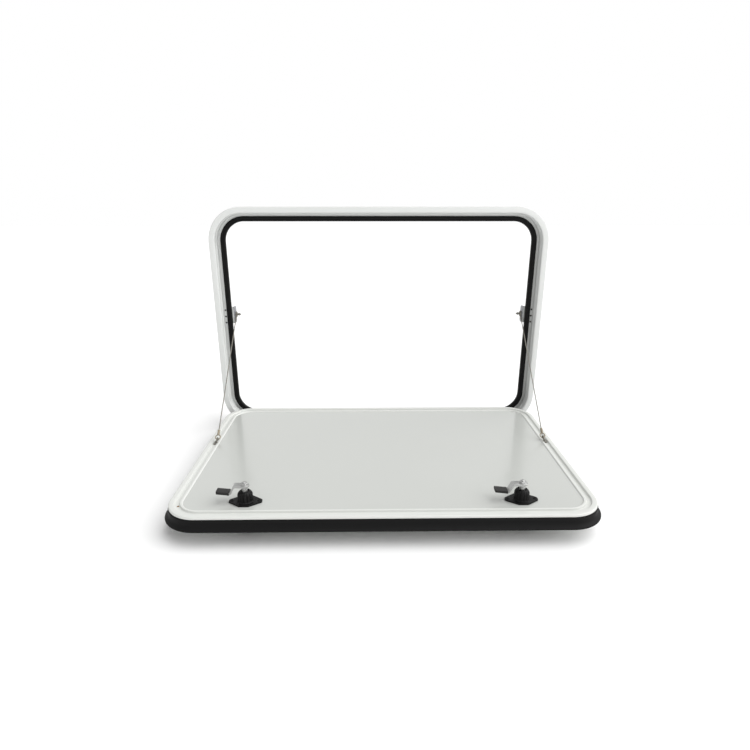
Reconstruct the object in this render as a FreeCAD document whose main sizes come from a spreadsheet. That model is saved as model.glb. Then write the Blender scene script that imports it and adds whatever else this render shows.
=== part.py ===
import FreeCAD, Part
import Sketcher
import math
import os

# Storage hatch for a camper wall: a bent extruded frame with a rubber seal, and a sandwich door that
# folds down on a piano hinge at the bottom edge and hangs from two wire stays.
# The part is shown open. Millimetres, +X right, +Y into the vehicle, +Z up.
# The origin is the middle of the lower rail's flange, on the back face that lies against the wall.

# Driving dimensions: name, value, what it measures
DIMENSIONS = [
    ("frame_width", 750, "outer width of the frame's flange"),
    ("frame_height", 510, "outer height of the frame's flange"),
    ("frame_corner", 75, "outer corner radius of the flange"),
    ("flange_width", 13, "flange, from its outer edge to the reveal"),
    ("flange_thick", 3, "thickness of the flange"),
    ("flange_round", 2, "rounding of the flange's front edges"),
    ("frame_wall", 2, "wall of the frame's extrusion"),
    ("step_depth", 13, "depth of the small step in the reveal"),
    ("step_size", 1, "how far the reveal steps inwards"),
    ("reveal_depth", 27, "depth from the flange's front to the seal's lip"),
    ("lip_reach", 29.5, "seal lip's edge, from the flange's outer edge"),
    ("frame_depth", 50, "overall depth of the frame"),
    ("seal_start", 20, "seal's outer side, from the flange's outer edge"),
    ("seal_height", 6, "height of the seal's bulb over the lip"),
    ("seal_skin", 1.6, "rubber round the lip's edge and behind it"),
    ("seal_grip", 6, "how far the seal grips behind the lip"),
    ("seal_round", 2.5, "rounding of the seal's bulb"),
    ("seal_gap", 1, "closed door's rim to the relaxed seal"),
    ("door_inset", 19, "door ring's edge, from the flange's outer edge"),
    ("door_thick", 27, "door ring's rim to the door's outer face"),
    ("rim_width", 9, "flat rim of the door ring"),
    ("rim_step", 3.5, "drop from the rim to the ring's ledge"),
    ("rim_slope", 1.5, "run of the sloped steps"),
    ("ledge_end", 21.5, "inner end of the ring's ledge, from its edge"),
    ("ridge_drop", 0.3, "drop from the rim to the ring's inner ridge"),
    ("ridge_width", 3.3, "flat top of the ring's inner ridge"),
    ("panel_drop", 2, "drop from the rim to the panel"),
    ("rebate_drop", 5.5, "drop from the rim to the panel's rebate"),
    ("rebate_end", 23.2, "inner end of the panel's rebate, from the ring's edge"),
    ("edge_height", 4.5, "height of the ring's bare outer edge"),
    ("ring_wall", 2.5, "wall of the ring round the panel"),
    ("panel_inset", 8, "panel's edge, from the ring's edge"),
    ("trim_recess", 0.8, "trim's top, back from the ring's edge"),
    ("trim_bulge", 1.2, "trim's side, out from the ring's edge"),
    ("trim_lip_drop", 21.2, "rim to the upper face of the trim's lip"),
    ("trim_lip_reach", 7.5, "trim's lip, out from the ring's edge"),
    ("trim_lip_thick", 2.2, "thickness of the trim's lip"),
    ("trim_flare", 4, "height over which the trim flares out"),
    ("knuckle_radius", 4.5, "hinge knuckle's outer radius"),
    ("pin_radius", 2.5, "hinge pin's radius"),
    ("pin_clear", 0.05, "running clearance of the pin"),
    ("hinge_leaf", 2, "thickness of the hinge leaves"),
    ("leaf_clear", 1, "hinge leaf's edge to the other leaf's knuckles"),
    ("hinge_foot", 8, "height of the hinge foot on the flange"),
    ("foot_edge", 0.5, "hinge foot's edge, from the flange's edge"),
    ("door_leaf_width", 25, "door leaf, from the hinge axis to its edge"),
    ("knuckle_pitch", 72, "frame knuckle to the next frame knuckle"),
    ("knuckle_gap", 0.5, "gap between neighbouring knuckles"),
    ("frame_knuckles", 8, "number of knuckles on the frame's leaf"),
    ("bracket_height", 39, "height of a stay bracket"),
    ("bracket_level", 268, "stay bracket's middle, from the flange's edge"),
    ("bracket_front", 33, "stay bracket's front, from the flange's front"),
    ("bracket_depth", 18, "depth of a stay bracket"),
    ("bracket_sheet", 2, "sheet of a stay bracket"),
    ("screw_radius", 2.5, "stay screw's radius"),
    ("screw_head", 4.5, "stay screw's head radius"),
    ("head_thick", 3, "stay screw's head thickness"),
    ("screw_reach", 13, "screw's tip past the bracket's inner face"),
    ("screw_point", 5, "length of the screw's point"),
    ("screw_nut_flats", 8, "stay nut across its flats"),
    ("screw_nut_thick", 3.5, "stay nut's thickness"),
    ("small_clear", 0.1, "clearance of fixed pieces on their screws"),
    ("lug_radius", 6.5, "radius of the stay's eye"),
    ("lug_thick", 2.4, "thickness of the stay's eye"),
    ("lug_barrel", 1.7, "radius of the eye's crimped barrel"),
    ("lug_length", 17, "eye's middle to its barrel's end"),
    ("cable_radius", 1, "stay wire's radius"),
    ("hook_clear", 0.2, "hook's foot to the end of the ring's ledge"),
    ("hook_distance", 192, "hook, from the hinge axis"),
    ("hook_level", 7, "hook's crook above the ring's ledge"),
    ("hook_rod", 1.5, "hook rod's radius"),
    ("hook_crook", 5, "hook's crook radius, to the rod's middle"),
    ("hook_tail", 3, "length of the hook's tail"),
    ("hook_foot_thick", 1.5, "thickness of the hook's foot"),
    ("hook_foot_width", 5, "width of the hook's foot"),
    ("hook_foot_length", 15, "length of the hook's foot"),
    ("loop_radius", 5, "wire loop's radius, to the wire's middle"),
    ("loop_clear", 0.3, "wire loop to the hook's rod"),
    ("ferrule_radius", 2.4, "stay ferrule's radius"),
    ("ferrule_length", 11, "stay ferrule's length"),
    ("latch_side", 127, "latch axis, from the ring's side edge"),
    ("latch_edge", 49.5, "latch axis, from the ring's free edge"),
    ("latch_hole", 13.5, "panel's latch hole radius"),
    ("latch_body", 13, "latch body's radius inside the panel"),
    ("latch_barrel", 12.5, "latch barrel's radius"),
    ("barrel_height", 21, "latch barrel's top above the panel"),
    ("groove_count", 14, "grooves round the latch barrel"),
    ("groove_radius", 1.2, "radius of a barrel groove"),
    ("groove_depth", 0.7, "depth of a barrel groove"),
    ("groove_end", 2, "barrel groove's ends, from the flange and the barrel's top"),
    ("latch_flange_long", 55, "latch flange, tip to tip"),
    ("latch_flange_wide", 34, "latch flange, flat to flat"),
    ("latch_flange_flat", 16, "length of the latch flange's flats"),
    ("latch_flange_tip", 7, "width of the latch flange's tips"),
    ("latch_flange_thick", 3, "thickness of the latch flange"),
    ("spindle_radius", 5, "latch spindle's radius"),
    ("spindle_clear", 0.05, "running clearance of the spindle"),
    ("collar_radius", 6.5, "spindle collar's radius"),
    ("collar_gap", 0.2, "spindle collar to the barrel's top"),
    ("cam_level", 29, "cam's seat above the panel"),
    ("cam_thick", 3, "cam's thickness"),
    ("cam_width", 13, "cam's width"),
    ("cam_tail", 8, "cam's short end, from the latch axis"),
    ("cam_bend", 15.5, "cam's first bend, from the latch axis"),
    ("cam_run", 6.5, "length of the cam's slope"),
    ("cam_drop", 12.5, "height of the cam's slope"),
    ("cam_reach", 44, "cam's end, from the latch axis"),
    ("cam_shift", 1.8, "cam's upper bends, out from its lower bends"),
    ("sleeve_wall", 1, "wall of the cam's sleeve"),
    ("sleeve_end", 2, "end wall of the cam's sleeve"),
    ("sleeve_gap", 1, "cam's slope to the sleeve's mouth"),
    ("stud_radius", 3, "threaded stud's radius"),
    ("stud_height", 40, "threaded stud's top above the panel"),
    ("nut_flats", 10, "latch nut across its flats"),
    ("nut_thick", 5, "latch nut's thickness"),
    ("bezel_radius", 22, "outer bezel's radius"),
    ("bezel_thick", 3, "outer bezel's thickness"),
    ("bezel_bore", 5.5, "outer bezel's hole radius"),
    ("knob_gap", 0.5, "knob to the bezel"),
    ("knob_radius", 17, "knob's base radius"),
    ("knob_base", 4, "knob's base thickness"),
    ("grip_length", 30, "length of the knob's grip"),
    ("grip_width", 9, "width of the knob's grip"),
    ("grip_height", 12, "height of the knob's grip"),
    ("grip_round", 4, "rounding of the grip's ends"),
]

doc = FreeCAD.newDocument("StorageHatch")
sheet = doc.addObject("Spreadsheet::Sheet", "Sizes")


class Size:
    """A length that carries its expression in the sheet's names beside its number."""

    def __init__(self, text, number):
        self.text = text
        self.number = number

    def __add__(self, other):
        other = as_size(other)
        return Size(f"({self.text} + {other.text})", self.number + other.number)

    def __sub__(self, other):
        other = as_size(other)
        return Size(f"({self.text} - {other.text})", self.number - other.number)

    def __mul__(self, other):
        other = as_size(other)
        return Size(f"({self.text} * {other.text})", self.number * other.number)

    def __truediv__(self, other):
        other = as_size(other)
        return Size(f"({self.text} / {other.text})", self.number / other.number)

    def __neg__(self):
        return Size(f"(-{self.text})", -self.number)


def as_size(value):
    return value if isinstance(value, Size) else Size(f"({value})", value)


def square_root(value):
    return Size(f"sqrt({value.text})", math.sqrt(value.number))


def fill_sheet():
    sizes = {}
    for row, (name, value, meaning) in enumerate(DIMENSIONS, 1):
        sheet.set(f"A{row}", name)
        sheet.set(f"B{row}", str(value))
        sheet.set(f"C{row}", meaning)
        sheet.setAlias(f"B{row}", name)
        sizes[name] = Size(f"Sizes.{name}", value)
    doc.recompute()
    return sizes


S = fill_sheet()
ZERO = as_size(0)

# Places worked out from the driving dimensions
FRONT = -S["flange_thick"]
FLANGE_BACK_WIDTH = S["flange_width"] - S["frame_wall"]
BOTTOM = -(FLANGE_BACK_WIDTH / 2)
HALF_WIDTH = S["frame_width"] / 2
REVEAL = S["flange_width"] + S["step_size"]

RIM = S["door_thick"] + S["knuckle_radius"]
HINGE_Y = FRONT + S["reveal_depth"] - S["seal_height"] - S["seal_gap"] - RIM
HINGE_Z = BOTTOM + S["door_inset"]
DOOR_HALF = HALF_WIDTH - S["door_inset"]
DOOR_DEPTH = S["frame_height"] - S["door_inset"] * 2
DOOR_CORNER = S["frame_corner"] - S["door_inset"]
OUTER_FACE = S["knuckle_radius"]
PANEL_FACE = RIM - S["panel_drop"]
PANEL_THICK = PANEL_FACE - OUTER_FACE
LEDGE = RIM - S["rim_step"]
RIDGE = RIM - S["ridge_drop"]
REBATE = RIM - S["rebate_drop"]
LATCH_X = DOOR_HALF - S["latch_side"]
LATCH_Y = S["latch_edge"] - DOOR_DEPTH

STAY_OFFSET = S["small_clear"] + S["lug_barrel"]
STAY_X = DOOR_HALF - S["ledge_end"] + S["hook_clear"] + S["hook_foot_width"] / 2
BRACKET_X = STAY_X + STAY_OFFSET
STAY_TOP_Y = FRONT + S["bracket_front"] + S["bracket_depth"] / 2
STAY_TOP_Z = BOTTOM + S["bracket_level"]
CROOK_Y = HINGE_Y - S["hook_distance"]
CROOK_N = LEDGE + S["hook_level"]
STAY_RISE = STAY_TOP_Z - HINGE_Z - CROOK_N
STAY_RUN = STAY_TOP_Y - CROOK_Y
STAY_LENGTH = square_root(STAY_RISE * STAY_RISE + STAY_RUN * STAY_RUN)
FERRULE_START = S["hook_crook"] + S["loop_radius"] * 2 - S["hook_rod"] - S["loop_clear"] - S["cable_radius"]
CABLE_START = FERRULE_START + S["ferrule_length"]

KNUCKLE_LENGTH = S["knuckle_pitch"] / 2 - S["knuckle_gap"]
HINGE_LENGTH = S["knuckle_pitch"] * (S["frame_knuckles"] - 0.5)


def new_body(label):
    body = doc.addObject("PartDesign::Body", label)
    body.Label = label
    return body


def place(body, x=ZERO, y=ZERO, z=ZERO):
    for axis, value in zip("xyz", (x, y, z)):
        body.setExpression(f"Placement.Base.{axis}", value.text)


def on_door(body, x=ZERO, y=ZERO, z=ZERO):
    """Places a door piece from the hinge axis: y towards the vehicle, z up from the axis."""
    place(body, x, HINGE_Y + y, HINGE_Z + z)


def along_stay(body, side):
    """Places a stay piece with its z axis from the hook's crook to the eye on the bracket."""
    place(body, STAY_X * side, CROOK_Y, HINGE_Z + CROOK_N)
    body.Placement.Rotation = FreeCAD.Rotation(FreeCAD.Vector(-1, 0, 0), 45)
    body.setExpression("Placement.Rotation.Angle", f"atan({STAY_RUN.text} / {STAY_RISE.text})")


def new_sketch(body, plane, height=ZERO):
    sketch = body.newObject("Sketcher::SketchObject", f"{body.Name}_outline")
    support = [face for face in body.Origin.OriginFeatures if face.Role == plane][0]
    sketch.AttachmentSupport = [(support, "")]
    sketch.MapMode = "FlatFace"
    sketch.setExpression("AttachmentOffset.Base.z", height.text)
    return sketch


def bind(sketch, constraint, value):
    index = sketch.addConstraint(constraint)
    sketch.setExpression(f"Constraints[{index}]", value.text)


def step_towards(corner, other, radius):
    """The point one radius from a corner along its level or upright edge."""
    x, y = corner
    if abs(other[0].number - x.number) > abs(other[1].number - y.number):
        return (x + radius if other[0].number > x.number else x - radius), y
    return x, (y + radius if other[1].number > y.number else y - radius)


def add_outline(sketch, corners):
    """Draws a closed outline. A corner is (x, y), or (x, y, radius) to round a square corner."""
    stations = []
    count = len(corners)
    for index, corner in enumerate(corners):
        x, y = as_size(corner[0]), as_size(corner[1])
        if len(corner) == 2:
            stations.append(((x, y), None))
            continue
        before = [as_size(value) for value in corners[index - 1][:2]]
        after = [as_size(value) for value in corners[(index + 1) % count][:2]]
        stations.append((step_towards((x, y), before, corner[2]), corner[2]))
        stations.append((step_towards((x, y), after, corner[2]), None))

    first = sketch.GeometryCount
    edges = len(stations)
    for index, ((x, y), radius) in enumerate(stations):
        start = FreeCAD.Vector(x.number, y.number, 0)
        end_x, end_y = stations[(index + 1) % edges][0]
        end = FreeCAD.Vector(end_x.number, end_y.number, 0)
        if radius is None:
            sketch.addGeometry(Part.LineSegment(start, end), False)
        else:
            sketch.addGeometry(corner_arc(stations, index, start, end, radius.number), False)
    for index, ((x, y), radius) in enumerate(stations):
        line = first + index
        ahead = first + (index + 1) % edges
        starts_forward = is_forward(sketch, line, x, y)
        begin = 1 if starts_forward else 2
        finish = 2 if starts_forward else 1
        ahead_x, ahead_y = stations[(index + 1) % edges][0]
        ahead_begin = 1 if is_forward(sketch, ahead, ahead_x, ahead_y) else 2
        sketch.addConstraint(Sketcher.Constraint("Coincident", line, finish, ahead, ahead_begin))
        bind(sketch, Sketcher.Constraint("DistanceX", -1, 1, line, begin, x.number), x)
        bind(sketch, Sketcher.Constraint("DistanceY", -1, 1, line, begin, y.number), y)
        if radius is not None:
            bind(sketch, Sketcher.Constraint("Radius", line, radius.number), radius)


def corner_arc(stations, index, start, end, radius):
    """The quarter arc between two points of a rounded square corner."""
    before = stations[index - 1][0]
    inward = FreeCAD.Vector(before[0].number, before[1].number, 0) - start
    runs_level = abs(inward.x) > abs(inward.y)
    centre = FreeCAD.Vector(start.x, end.y, 0) if runs_level else FreeCAD.Vector(end.x, start.y, 0)
    middle_way = ((start + end) * 0.5 - centre).normalize()
    return Part.Arc(start, centre + middle_way * radius, end)


def is_forward(sketch, edge, x, y):
    """Whether an edge of a sketch starts at this point: an arc is kept anticlockwise."""
    point = sketch.getPoint(edge, 1)
    return math.hypot(point.x - x.number, point.y - y.number) < 1e-6


def add_circle(sketch, x, y, radius):
    circle = Part.Circle(FreeCAD.Vector(x.number, y.number, 0), FreeCAD.Vector(0, 0, 1), radius.number)
    index = sketch.addGeometry(circle, False)
    bind(sketch, Sketcher.Constraint("DistanceX", -1, 1, index, 3, x.number), x)
    bind(sketch, Sketcher.Constraint("DistanceY", -1, 1, index, 3, y.number), y)
    bind(sketch, Sketcher.Constraint("Radius", index, radius.number), radius)


def add_hexagon(sketch, flats):
    corner = flats / math.sqrt(3)
    across = flats / 2
    add_outline(sketch, [(corner, ZERO), (corner / 2, across), (-corner / 2, across),
                         (-corner, ZERO), (-corner / 2, -across), (corner / 2, -across)])


def add_feature(body, kind, sketch, length, symmetric=False, backward=False):
    feature = body.newObject(f"PartDesign::{kind}", f"{body.Name}_{kind}")
    feature.Profile = sketch
    feature.setExpression("Length", length.text)
    feature.Midplane = symmetric
    feature.Reversed = backward
    sketch.Visibility = False
    return feature


def pad_outline(body, plane, corners, length, height=ZERO, symmetric=False, holes=()):
    sketch = new_sketch(body, plane, height)
    add_outline(sketch, corners)
    for x, y, radius in holes:
        add_circle(sketch, x, y, radius)
    return add_feature(body, "Pad", sketch, length, symmetric)


def pad_circle(body, plane, x, y, radius, length, height=ZERO, symmetric=False, hole=None):
    sketch = new_sketch(body, plane, height)
    add_circle(sketch, x, y, radius)
    if hole is not None:
        add_circle(sketch, x, y, hole)
    return add_feature(body, "Pad", sketch, length, symmetric)


def pocket_circle(body, plane, x, y, radius, length=S["frame_width"]):
    """Cuts a round hole through the body, the same way to both sides of the plane."""
    sketch = new_sketch(body, plane)
    add_circle(sketch, x, y, radius)
    return add_feature(body, "Pocket", sketch, length, symmetric=True)


def revolve(body, plane, corners):
    """Turns an outline round the upright axis of its plane."""
    sketch = new_sketch(body, plane)
    add_outline(sketch, corners)
    turn = body.newObject("PartDesign::Revolution", f"{body.Name}_turn")
    turn.Profile = sketch
    turn.ReferenceAxis = (sketch, ["V_Axis"])
    turn.Angle = 360
    return turn


def sweep_round(body, spine_plane, spine, profile):
    """Bends an extruded profile, drawn at the middle of the lower or hinge side, round a closed spine."""
    path = new_sketch(body, spine_plane)
    add_outline(path, spine)
    section = new_sketch(body, "YZ_Plane")
    add_outline(section, profile)
    doc.recompute()
    pipe = body.newObject("PartDesign::AdditivePipe", f"{body.Name}_bend")
    pipe.Profile = section
    pipe.Spine = path
    return pipe


def rounded_spine(half_width, low, high, radius):
    """A rounded rectangle that starts at the middle of its low side."""
    return [(ZERO, low), (half_width, low, radius), (half_width, high, radius),
            (-half_width, high, radius), (-half_width, low, radius)]


FRAME_SPINE = rounded_spine(HALF_WIDTH, BOTTOM, BOTTOM + S["frame_height"], S["frame_corner"])
DOOR_SPINE = rounded_spine(DOOR_HALF, ZERO, -DOOR_DEPTH, DOOR_CORNER)


def make_outer_frame():
    """The frame's extrusion: wall flange, stepped reveal, seal lip and rear leg."""
    body = new_body("outer_frame")
    wall = S["frame_wall"]
    lip_front = FRONT + S["reveal_depth"]
    step = FRONT + S["step_depth"]
    rear = FRONT + S["frame_depth"]
    profile = [
        (ZERO, BOTTOM),
        (FRONT, BOTTOM, S["flange_round"]),
        (FRONT, BOTTOM + S["flange_width"], S["flange_round"]),
        (step, BOTTOM + S["flange_width"]),
        (step + S["step_size"], BOTTOM + REVEAL),
        (lip_front, BOTTOM + REVEAL),
        (lip_front, BOTTOM + S["lip_reach"]),
        (lip_front + wall, BOTTOM + S["lip_reach"]),
        (lip_front + wall, BOTTOM + REVEAL),
        (rear, BOTTOM + REVEAL),
        (rear, BOTTOM + REVEAL - wall),
        (step + S["step_size"] + wall, BOTTOM + REVEAL - wall),
        (step + wall, BOTTOM + FLANGE_BACK_WIDTH),
        (ZERO, BOTTOM + FLANGE_BACK_WIDTH),
    ]
    sweep_round(body, "XZ_Plane", FRAME_SPINE, profile)
    return body


def make_frame_seal():
    """The rubber seal: a bulb in front of the frame's lip and a grip round the lip's edge."""
    body = new_body("frame_seal")
    lip_front = FRONT + S["reveal_depth"]
    lip_back = lip_front + S["frame_wall"]
    lip_edge = BOTTOM + S["lip_reach"]
    crest = lip_front - S["seal_height"]
    tip = lip_edge + S["seal_skin"]
    profile = [
        (lip_front, BOTTOM + S["seal_start"]),
        (crest, BOTTOM + S["seal_start"], S["seal_round"]),
        (crest, tip, S["seal_round"]),
        (lip_back + S["seal_skin"], tip),
        (lip_back + S["seal_skin"], tip - S["seal_grip"]),
        (lip_back, tip - S["seal_grip"]),
        (lip_back, lip_edge),
        (lip_front, lip_edge),
    ]
    sweep_round(body, "XZ_Plane", FRAME_SPINE, profile)
    return body


def make_door_ring():
    """The door's extruded ring: a rim, a groove and a ridge over the panel, and a wall round its edge."""
    body = new_body("door_ring")
    wall_out = S["panel_inset"] - S["ring_wall"]
    ridge_start = S["ledge_end"] + S["rim_slope"]
    ridge_end = ridge_start + S["ridge_width"]
    profile = [
        (ZERO, RIM),
        (-S["rim_width"], RIM),
        (-(S["rim_width"] + S["rim_slope"]), LEDGE),
        (-S["ledge_end"], LEDGE),
        (-ridge_start, RIDGE),
        (-ridge_end, RIDGE),
        (-(ridge_end + S["rim_slope"]), PANEL_FACE),
        (-S["rebate_end"], PANEL_FACE),
        (-S["rebate_end"], REBATE),
        (-S["panel_inset"], REBATE),
        (-S["panel_inset"], OUTER_FACE),
        (-wall_out, OUTER_FACE),
        (-wall_out, RIM - S["edge_height"]),
        (ZERO, RIM - S["edge_height"]),
    ]
    sweep_round(body, "XY_Plane", DOOR_SPINE, profile)
    on_door(body)
    return body


def make_door_edge_trim():
    """The rubber trim round the door's edge, with a lip that covers the gap to the flange."""
    body = new_body("door_edge_trim")
    wall_out = S["panel_inset"] - S["ring_wall"]
    top = RIM - S["edge_height"]
    lip_top = RIM - S["trim_lip_drop"]
    lip_low = lip_top - S["trim_lip_thick"]
    profile = [
        (-wall_out, top),
        (-S["trim_recess"], top),
        (S["trim_bulge"], top - S["edge_height"] / 2),
        (S["trim_bulge"], lip_top + S["trim_flare"]),
        (S["trim_lip_reach"], lip_top),
        (S["trim_lip_reach"], lip_low),
        (-wall_out, lip_low),
    ]
    sweep_round(body, "XY_Plane", DOOR_SPINE, profile)
    on_door(body)
    return body


def make_door_panel():
    """The sandwich panel, rebated round its inner face, with a hole for each latch."""
    body = new_body("door_panel")
    holes = [(LATCH_X * side, LATCH_Y, S["latch_hole"]) for side in (-1, 1)]
    levels = [(S["panel_inset"], OUTER_FACE, REBATE), (S["rebate_end"], REBATE, PANEL_FACE)]
    for inset, low, high in levels:
        half = DOOR_HALF - inset
        radius = DOOR_CORNER - inset
        outline = [(half, -inset, radius), (half, inset - DOOR_DEPTH, radius),
                   (-half, inset - DOOR_DEPTH, radius), (-half, -inset, radius)]
        pad_outline(body, "XY_Plane", outline, high - low, low, holes=holes)
    on_door(body)
    return body


def add_knuckles(body, tab, count):
    """Knuckles with their tabs along the hinge, evenly about the middle of the door."""
    start = S["knuckle_pitch"] * (count - 1) / -2
    tabs = pad_outline(body, "YZ_Plane", tab, KNUCKLE_LENGTH, start, symmetric=True)
    tubes = pad_circle(body, "YZ_Plane", ZERO, ZERO, S["knuckle_radius"], KNUCKLE_LENGTH, start,
                       symmetric=True)
    row = body.newObject("PartDesign::LinearPattern", f"{body.Name}_row")
    row.Originals = [tabs, tubes]
    row.Direction = ([axis for axis in body.Origin.OriginFeatures if axis.Role == "X_Axis"][0], [""])
    row.setExpression("Length", (S["knuckle_pitch"] * (count - 1)).text)
    row.setExpression("Occurrences", count.text)
    body.Tip = row
    doc.recompute()
    pocket_circle(body, "YZ_Plane", ZERO, ZERO, S["pin_radius"] + S["pin_clear"], HINGE_LENGTH * 2)


def make_hinge_frame_leaf():
    """The frame's half of the hinge: a foot on the flange, a gutter under the door's lip, and knuckles."""
    body = new_body("hinge_frame_leaf")
    seat = FRONT - HINGE_Y
    low = S["foot_edge"] - S["door_inset"]
    leaf = S["hinge_leaf"]
    face = S["knuckle_radius"]
    edge = -(S["knuckle_radius"] + S["leaf_clear"])
    channel = [(seat, low), (seat, low + S["hinge_foot"]), (seat - leaf, low + S["hinge_foot"]),
               (seat - leaf, low + leaf), (face, low + leaf), (face, edge), (face - leaf, edge),
               (face - leaf, low)]
    pad_outline(body, "YZ_Plane", channel, HINGE_LENGTH, symmetric=True)
    tab = [(face - leaf, edge), (face, edge), (face, ZERO), (face - leaf, ZERO)]
    add_knuckles(body, tab, S["frame_knuckles"])
    on_door(body)
    return body


def make_hinge_door_leaf():
    """The door's half of the hinge, flat on the door's outer face."""
    body = new_body("hinge_door_leaf")
    leaf = S["hinge_leaf"]
    edge = -(S["knuckle_radius"] + S["leaf_clear"])
    top = OUTER_FACE
    plate = [(edge, top - leaf), (edge, top), (-S["door_leaf_width"], top),
             (-S["door_leaf_width"], top - leaf)]
    pad_outline(body, "YZ_Plane", plate, HINGE_LENGTH, symmetric=True)
    tab = [(ZERO, top - leaf), (ZERO, top), (edge, top), (edge, top - leaf)]
    add_knuckles(body, tab, S["frame_knuckles"] - 1)
    on_door(body)
    return body


def make_hinge_pin():
    body = new_body("hinge_pin")
    pad_circle(body, "YZ_Plane", ZERO, ZERO, S["pin_radius"], HINGE_LENGTH, symmetric=True)
    on_door(body)
    return body


def make_stay_bracket(name, side):
    """A folded bracket on the frame's rear leg, open to the back."""
    body = new_body(f"stay_bracket_{name}")
    sheet_thick = S["bracket_sheet"]
    outer = (HALF_WIDTH - REVEAL) * side
    inner = BRACKET_X * side
    front = FRONT + S["bracket_front"]
    back = front + S["bracket_depth"]
    fold = front + sheet_thick
    outline = [(outer, back), (outer, front), (inner, front), (inner, back),
               (inner + sheet_thick * side, back), (inner + sheet_thick * side, fold),
               (outer - sheet_thick * side, fold), (outer - sheet_thick * side, back)]
    pad_outline(body, "XY_Plane", outline, S["bracket_height"], symmetric=True)
    hole = S["screw_radius"] + S["small_clear"]
    sketch = new_sketch(body, "YZ_Plane", inner)
    add_circle(sketch, STAY_TOP_Y, ZERO, hole)
    add_feature(body, "Pocket", sketch, sheet_thick * 2, symmetric=True)
    place(body, z=STAY_TOP_Z)
    return body


def point_inwards(body, side):
    """Turns a piece drawn along +Z so that it points at the middle of the hatch."""
    body.Placement.Rotation = FreeCAD.Rotation(FreeCAD.Vector(0, 1, 0), -90 * side)


def make_stay_screw(name, side):
    """A pointed screw through the bracket, its point towards the middle of the hatch."""
    body = new_body(f"stay_screw_{name}")
    shank = S["screw_radius"]
    behind = -S["bracket_sheet"]
    outline = [(ZERO, behind - S["head_thick"]), (S["screw_head"], behind - S["head_thick"]),
               (S["screw_head"], behind), (shank, behind),
               (shank, S["screw_reach"] - S["screw_point"]), (ZERO, S["screw_reach"])]
    revolve(body, "XZ_Plane", outline)
    point_inwards(body, side)
    place(body, BRACKET_X * side, STAY_TOP_Y, STAY_TOP_Z)
    return body


def make_stay_nut(name, side):
    """The nut that keeps the stay's eye on its screw."""
    body = new_body(f"stay_nut_{name}")
    sketch = new_sketch(body, "XY_Plane", STAY_OFFSET + S["lug_thick"] / 2 + S["small_clear"])
    add_hexagon(sketch, S["screw_nut_flats"])
    add_circle(sketch, ZERO, ZERO, S["screw_radius"] + S["small_clear"])
    add_feature(body, "Pad", sketch, S["screw_nut_thick"])
    point_inwards(body, side)
    place(body, BRACKET_X * side, STAY_TOP_Y, STAY_TOP_Z)
    return body


def make_stay_lug(name, side):
    """The stay's upper eye with its crimped barrel."""
    body = new_body(f"stay_lug_{name}")
    pad_circle(body, "YZ_Plane", ZERO, STAY_LENGTH, S["lug_radius"], S["lug_thick"], symmetric=True)
    nut_corner = S["screw_nut_flats"] / math.sqrt(3)
    barrel = S["lug_length"] - nut_corner - S["small_clear"]
    pad_circle(body, "XY_Plane", ZERO, ZERO, S["lug_barrel"], barrel, STAY_LENGTH - S["lug_length"])
    hole = S["screw_radius"] + S["small_clear"]
    pocket_circle(body, "YZ_Plane", ZERO, STAY_LENGTH, hole)
    along_stay(body, side)
    return body


def make_stay_cable(name, side):
    """The taut stay wire between its ferrule and its eye."""
    body = new_body(f"stay_cable_{name}")
    length = STAY_LENGTH - S["lug_length"] - CABLE_START
    pad_circle(body, "XY_Plane", ZERO, ZERO, S["cable_radius"], length, CABLE_START)
    along_stay(body, side)
    return body


def make_stay_ferrule(name, side):
    """The wire loop round the hook, closed by a crimped ferrule."""
    label = f"stay_ferrule_{name}"
    loop = doc.addObject("Part::Torus", f"{label}_loop")
    loop.setExpression("Radius1", S["loop_radius"].text)
    loop.setExpression("Radius2", S["cable_radius"].text)
    loop.Placement.Rotation = FreeCAD.Rotation(FreeCAD.Vector(1, 0, 0), 90)
    loop.setExpression("Placement.Base.z", (FERRULE_START - S["loop_radius"]).text)
    sleeve = doc.addObject("Part::Cylinder", f"{label}_sleeve")
    sleeve.setExpression("Radius", S["ferrule_radius"].text)
    sleeve.setExpression("Height", S["ferrule_length"].text)
    sleeve.setExpression("Placement.Base.z", FERRULE_START.text)
    joined = doc.addObject("Part::Fuse", label)
    joined.Base = loop
    joined.Tool = sleeve
    joined.Label = label
    along_stay(joined, side)
    return joined


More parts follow.
